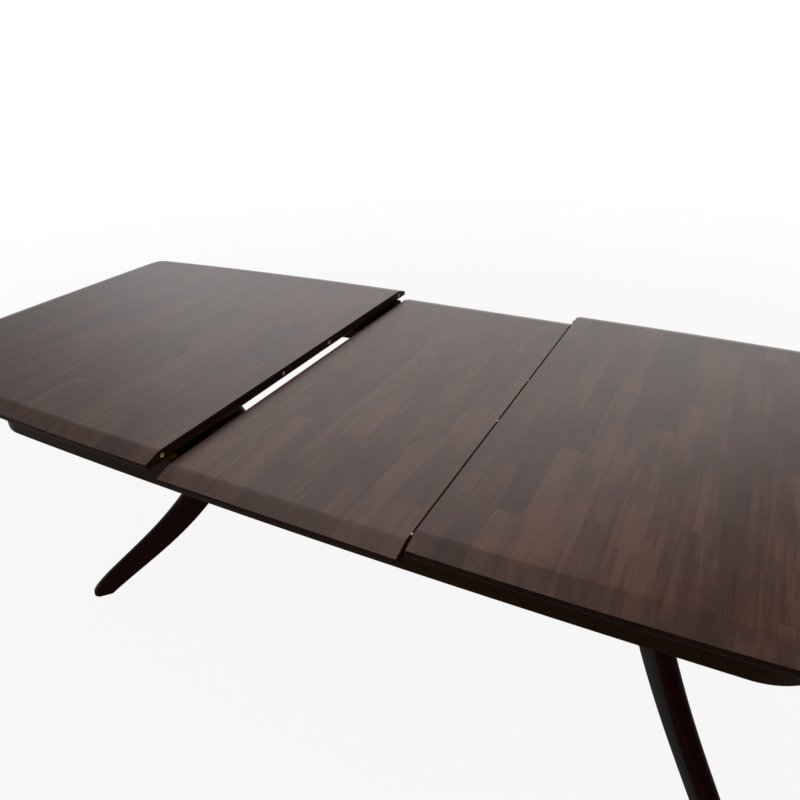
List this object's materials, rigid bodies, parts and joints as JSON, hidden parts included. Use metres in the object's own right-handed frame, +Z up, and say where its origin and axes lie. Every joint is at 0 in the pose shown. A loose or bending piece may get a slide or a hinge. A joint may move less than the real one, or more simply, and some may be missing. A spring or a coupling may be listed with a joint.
{
  "type": "extending dining table",
  "caption": "Extending dining table on turned pedestals with splayed sabre legs; bow-sided sliding tops close over a centre leaf lying low in the base frame.",
  "frame": {"origin": "on the floor under the middle of the table", "axes": "+X along the table towards the right-hand top, +Y to the rear, +Z up"},
  "size_m": [2.5206, 1.067, 0.75],
  "materials": {
    "stained_top": "satin dark stain over staves",
    "stained_apron": "satin dark stain",
    "stained_leg": "semi-gloss dark stain",
    "slide_wood": "dark stain, waxed",
    "brass": "bright",
    "glide": "matt"
  },
  "bodies": {
    "base": {"apron_front_rail": "stained_apron", "apron_rear_rail": "stained_apron", "apron_left_rail": "stained_apron", "apron_right_rail": "stained_apron", "guide_front": "slide_wood", "guide_rear": "slide_wood", "bearer_front": "stained_apron", "bearer_rear": "stained_apron", "head_beam_left": "stained_leg", "head_beam_right": "stained_leg", "column_left": "stained_leg", "column_right": "stained_leg", "leg_left_front": "stained_leg", "leg_left_rear": "stained_leg", "leg_right_front": "stained_leg", "leg_right_rear": "stained_leg", "glide_left_front": "glide", "glide_left_rear": "glide", "glide_right_front": "glide", "glide_right_rear": "glide"},
    "left_sliding_top": {"left_top": "stained_top", "left_top_bush_1": "brass", "left_top_bush_2": "brass", "left_top_bush_3": "brass", "left_top_bush_4": "brass", "runner_left_front": "slide_wood", "runner_left_rear": "slide_wood", "stop_left_front": "slide_wood", "stop_left_rear": "slide_wood"},
    "right_sliding_top": {"right_top": "stained_top", "right_top_pin_1": "brass", "right_top_pin_2": "brass", "right_top_pin_3": "brass", "right_top_pin_4": "brass", "runner_right_front": "slide_wood", "runner_right_rear": "slide_wood", "stop_right_front": "slide_wood", "stop_right_rear": "slide_wood"},
    "lift_out_leaf": {"centre_leaf": "stained_top", "leaf_batten_left": "slide_wood", "leaf_batten_right": "slide_wood", "leaf_pin_1": "brass", "leaf_pin_2": "brass", "leaf_pin_3": "brass", "leaf_pin_4": "brass", "leaf_bush_1": "brass", "leaf_bush_2": "brass", "leaf_bush_3": "brass", "leaf_bush_4": "brass"}
  },
  "joints": [
    {"name": "left_slide", "type": "slide", "parent": "base", "child": "left_sliding_top", "axis": [1, 0, 0], "range_m": [0, 0.271]},
    {"name": "right_slide", "type": "slide", "parent": "base", "child": "right_sliding_top", "axis": [-1, 0, 0], "range_m": [0, 0.271]},
    {"name": "leaf_lift", "type": "slide", "parent": "base", "child": "lift_out_leaf", "axis": [0, 0, 1], "range_m": [0, 0.1]}
  ]
}
